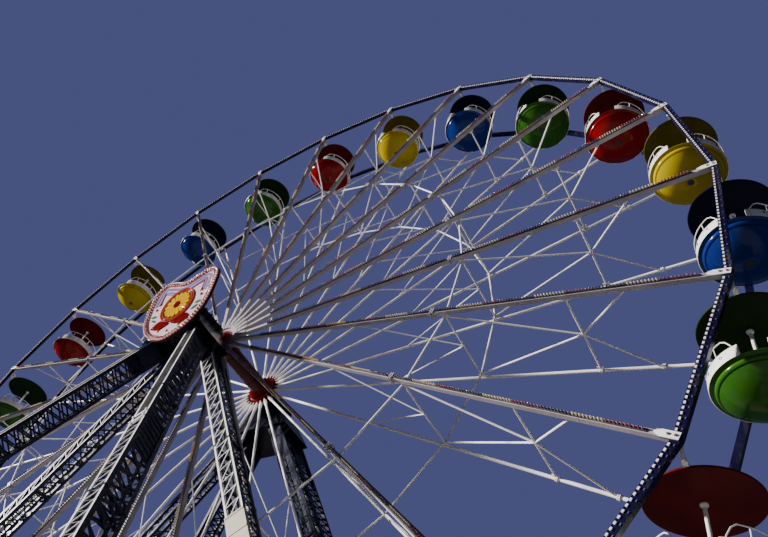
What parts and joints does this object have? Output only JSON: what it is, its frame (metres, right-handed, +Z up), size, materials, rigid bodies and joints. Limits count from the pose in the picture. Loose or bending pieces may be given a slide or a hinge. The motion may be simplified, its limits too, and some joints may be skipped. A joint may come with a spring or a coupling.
{
  "type": "ferris wheel",
  "caption": "Fairground ferris wheel with round open tub gondolas between two polygon rims, spoked to a hub on lattice legs.",
  "frame": {"origin": "on the ground, centred below the hub", "axes": "+Z up; the wheel turns about the Y axis; the sign and the lit front spokes face -Y"},
  "size_m": [33.9086, 16.92, 35.4787],
  "materials": {
    "navy_steel": "semi-gloss paint",
    "silver_steel": "satin paint",
    "white_steel": "satin paint",
    "grey_steel": "satin paint",
    "hub_red": "gloss paint",
    "sign_enamel": "gloss",
    "cabin_red": "gloss fibreglass",
    "cabin_green": "gloss fibreglass",
    "cabin_blue": "gloss fibreglass",
    "cabin_yellow": "gloss fibreglass"
  },
  "bodies": {
    "support": {"front_bearing_head": "navy_steel", "front_ground_beam": "navy_steel", "front_left_leg": "navy_steel", "front_left_raker": "navy_steel", "front_left_outrigger": "navy_steel", "front_right_leg": "navy_steel", "front_right_raker": "navy_steel", "front_right_outrigger": "navy_steel", "rear_bearing_head": "navy_steel", "rear_ground_beam": "navy_steel", "rear_left_leg": "navy_steel", "rear_left_raker": "navy_steel", "rear_left_outrigger": "navy_steel", "rear_right_leg": "navy_steel", "rear_right_raker": "navy_steel", "rear_right_outrigger": "navy_steel", "left_ground_tie": "navy_steel", "right_ground_tie": "navy_steel", "hub_sign": "sign_enamel", "sign_bracket": "grey_steel"},
    "wheel": {"front_rim": "navy_steel", "rear_rim": "navy_steel", "front_spokes_quarter_1": "silver_steel", "front_spokes_quarter_2": "silver_steel", "front_spokes_quarter_3": "silver_steel", "front_spokes_quarter_4": "silver_steel", "rear_spokes_quarter_1": "white_steel", "rear_spokes_quarter_2": "white_steel", "rear_spokes_quarter_3": "white_steel", "rear_spokes_quarter_4": "white_steel", "cross_frames_quarter_1": "white_steel", "cross_frames_quarter_2": "white_steel", "cross_frames_quarter_3": "white_steel", "cross_frames_quarter_4": "white_steel", "hub": "hub_red"},
    "gondola_01": {"gondola_01_blue": "cabin_blue"},
    "gondola_02": {"gondola_02_yellow": "cabin_yellow"},
    "gondola_03": {"gondola_03_red": "cabin_red"},
    "gondola_04": {"gondola_04_green": "cabin_green"},
    "gondola_05": {"gondola_05_blue": "cabin_blue"},
    "gondola_06": {"gondola_06_yellow": "cabin_yellow"},
    "gondola_07": {"gondola_07_red": "cabin_red"},
    "gondola_08": {"gondola_08_green": "cabin_green"},
    "gondola_09": {"gondola_09_blue": "cabin_blue"},
    "gondola_10": {"gondola_10_yellow": "cabin_yellow"},
    "gondola_11": {"gondola_11_red": "cabin_red"},
    "gondola_12": {"gondola_12_green": "cabin_green"},
    "gondola_13": {"gondola_13_blue": "cabin_blue"},
    "gondola_14": {"gondola_14_yellow": "cabin_yellow"},
    "gondola_15": {"gondola_15_red": "cabin_red"},
    "gondola_16": {"gondola_16_green": "cabin_green"},
    "gondola_17": {"gondola_17_blue": "cabin_blue"},
    "gondola_18": {"gondola_18_yellow": "cabin_yellow"},
    "gondola_19": {"gondola_19_red": "cabin_red"},
    "gondola_20": {"gondola_20_green": "cabin_green"},
    "gondola_21": {"gondola_21_blue": "cabin_blue"},
    "gondola_22": {"gondola_22_yellow": "cabin_yellow"},
    "gondola_23": {"gondola_23_red": "cabin_red"},
    "gondola_24": {"gondola_24_green": "cabin_green"}
  },
  "joints": [
    {"name": "wheel_turn", "type": "hinge", "parent": "support", "child": "wheel", "pos_m": [0, 0, 19.4], "axis": [0, 1, 0], "continuous": true},
    {"name": "gondola_01_level", "type": "hinge", "parent": "wheel", "child": "gondola_01", "pos_m": [15.99376, 0, 19.84675], "axis": [0, 1, 0], "continuous": true},
    {"name": "gondola_02_level", "type": "hinge", "parent": "wheel", "child": "gondola_02", "pos_m": [15.33316, 0, 23.97101], "axis": [0, 1, 0], "continuous": true},
    {"name": "gondola_03_level", "type": "hinge", "parent": "wheel", "child": "gondola_03", "pos_m": [13.62763, 0, 27.78377], "axis": [0, 1, 0], "continuous": true},
    {"name": "gondola_04_level", "type": "hinge", "parent": "wheel", "child": "gondola_04", "pos_m": [10.9934, 0, 31.0252], "axis": [0, 1, 0], "continuous": true},
    {"name": "gondola_05_level", "type": "hinge", "parent": "wheel", "child": "gondola_05", "pos_m": [7.60999, 0, 33.47438], "axis": [0, 1, 0], "continuous": true},
    {"name": "gondola_06_level", "type": "hinge", "parent": "wheel", "child": "gondola_06", "pos_m": [3.70797, 0, 34.96441], "axis": [0, 1, 0], "continuous": true},
    {"name": "gondola_07_level", "type": "hinge", "parent": "wheel", "child": "gondola_07", "pos_m": [-0.44675, 0, 35.39376], "axis": [0, 1, 0], "continuous": true},
    {"name": "gondola_08_level", "type": "hinge", "parent": "wheel", "child": "gondola_08", "pos_m": [-4.57101, 0, 34.73316], "axis": [0, 1, 0], "continuous": true},
    {"name": "gondola_09_level", "type": "hinge", "parent": "wheel", "child": "gondola_09", "pos_m": [-8.38377, 0, 33.02763], "axis": [0, 1, 0], "continuous": true},
    {"name": "gondola_10_level", "type": "hinge", "parent": "wheel", "child": "gondola_10", "pos_m": [-11.62519, 0, 30.3934], "axis": [0, 1, 0], "continuous": true},
    {"name": "gondola_11_level", "type": "hinge", "parent": "wheel", "child": "gondola_11", "pos_m": [-14.07438, 0, 27.00999], "axis": [0, 1, 0], "continuous": true},
    {"name": "gondola_12_level", "type": "hinge", "parent": "wheel", "child": "gondola_12", "pos_m": [-15.56441, 0, 23.10797], "axis": [0, 1, 0], "continuous": true},
    {"name": "gondola_13_level", "type": "hinge", "parent": "wheel", "child": "gondola_13", "pos_m": [-15.99376, 0, 18.95325], "axis": [0, 1, 0], "continuous": true},
    {"name": "gondola_14_level", "type": "hinge", "parent": "wheel", "child": "gondola_14", "pos_m": [-15.33316, 0, 14.82899], "axis": [0, 1, 0], "continuous": true},
    {"name": "gondola_15_level", "type": "hinge", "parent": "wheel", "child": "gondola_15", "pos_m": [-13.62763, 0, 11.01623], "axis": [0, 1, 0], "continuous": true},
    {"name": "gondola_16_level", "type": "hinge", "parent": "wheel", "child": "gondola_16", "pos_m": [-10.9934, 0, 7.7748], "axis": [0, 1, 0], "continuous": true},
    {"name": "gondola_17_level", "type": "hinge", "parent": "wheel", "child": "gondola_17", "pos_m": [-7.60999, 0, 5.32562], "axis": [0, 1, 0], "continuous": true},
    {"name": "gondola_18_level", "type": "hinge", "parent": "wheel", "child": "gondola_18", "pos_m": [-3.70797, 0, 3.83559], "axis": [0, 1, 0], "continuous": true},
    {"name": "gondola_19_level", "type": "hinge", "parent": "wheel", "child": "gondola_19", "pos_m": [0.44675, 0, 3.40624], "axis": [0, 1, 0], "continuous": true},
    {"name": "gondola_20_level", "type": "hinge", "parent": "wheel", "child": "gondola_20", "pos_m": [4.57101, 0, 4.06684], "axis": [0, 1, 0], "continuous": true},
    {"name": "gondola_21_level", "type": "hinge", "parent": "wheel", "child": "gondola_21", "pos_m": [8.38377, 0, 5.77237], "axis": [0, 1, 0], "continuous": true},
    {"name": "gondola_22_level", "type": "hinge", "parent": "wheel", "child": "gondola_22", "pos_m": [11.62519, 0, 8.4066], "axis": [0, 1, 0], "continuous": true},
    {"name": "gondola_23_level", "type": "hinge", "parent": "wheel", "child": "gondola_23", "pos_m": [14.07438, 0, 11.79001], "axis": [0, 1, 0], "continuous": true},
    {"name": "gondola_24_level", "type": "hinge", "parent": "wheel", "child": "gondola_24", "pos_m": [15.56441, 0, 15.69203], "axis": [0, 1, 0], "continuous": true}
  ],
  "couplings": [
    {"joint": "gondola_01_level", "follows": "wheel_turn", "ratio": -1},
    {"joint": "gondola_02_level", "follows": "wheel_turn", "ratio": -1},
    {"joint": "gondola_03_level", "follows": "wheel_turn", "ratio": -1},
    {"joint": "gondola_04_level", "follows": "wheel_turn", "ratio": -1},
    {"joint": "gondola_05_level", "follows": "wheel_turn", "ratio": -1},
    {"joint": "gondola_06_level", "follows": "wheel_turn", "ratio": -1},
    {"joint": "gondola_07_level", "follows": "wheel_turn", "ratio": -1},
    {"joint": "gondola_08_level", "follows": "wheel_turn", "ratio": -1},
    {"joint": "gondola_09_level", "follows": "wheel_turn", "ratio": -1},
    {"joint": "gondola_10_level", "follows": "wheel_turn", "ratio": -1},
    {"joint": "gondola_11_level", "follows": "wheel_turn", "ratio": -1},
    {"joint": "gondola_12_level", "follows": "wheel_turn", "ratio": -1},
    {"joint": "gondola_13_level", "follows": "wheel_turn", "ratio": -1},
    {"joint": "gondola_14_level", "follows": "wheel_turn", "ratio": -1},
    {"joint": "gondola_15_level", "follows": "wheel_turn", "ratio": -1},
    {"joint": "gondola_16_level", "follows": "wheel_turn", "ratio": -1},
    {"joint": "gondola_17_level", "follows": "wheel_turn", "ratio": -1},
    {"joint": "gondola_18_level", "follows": "wheel_turn", "ratio": -1},
    {"joint": "gondola_19_level", "follows": "wheel_turn", "ratio": -1},
    {"joint": "gondola_20_level", "follows": "wheel_turn", "ratio": -1},
    {"joint": "gondola_21_level", "follows": "wheel_turn", "ratio": -1},
    {"joint": "gondola_22_level", "follows": "wheel_turn", "ratio": -1},
    {"joint": "gondola_23_level", "follows": "wheel_turn", "ratio": -1},
    {"joint": "gondola_24_level", "follows": "wheel_turn", "ratio": -1}
  ]
}
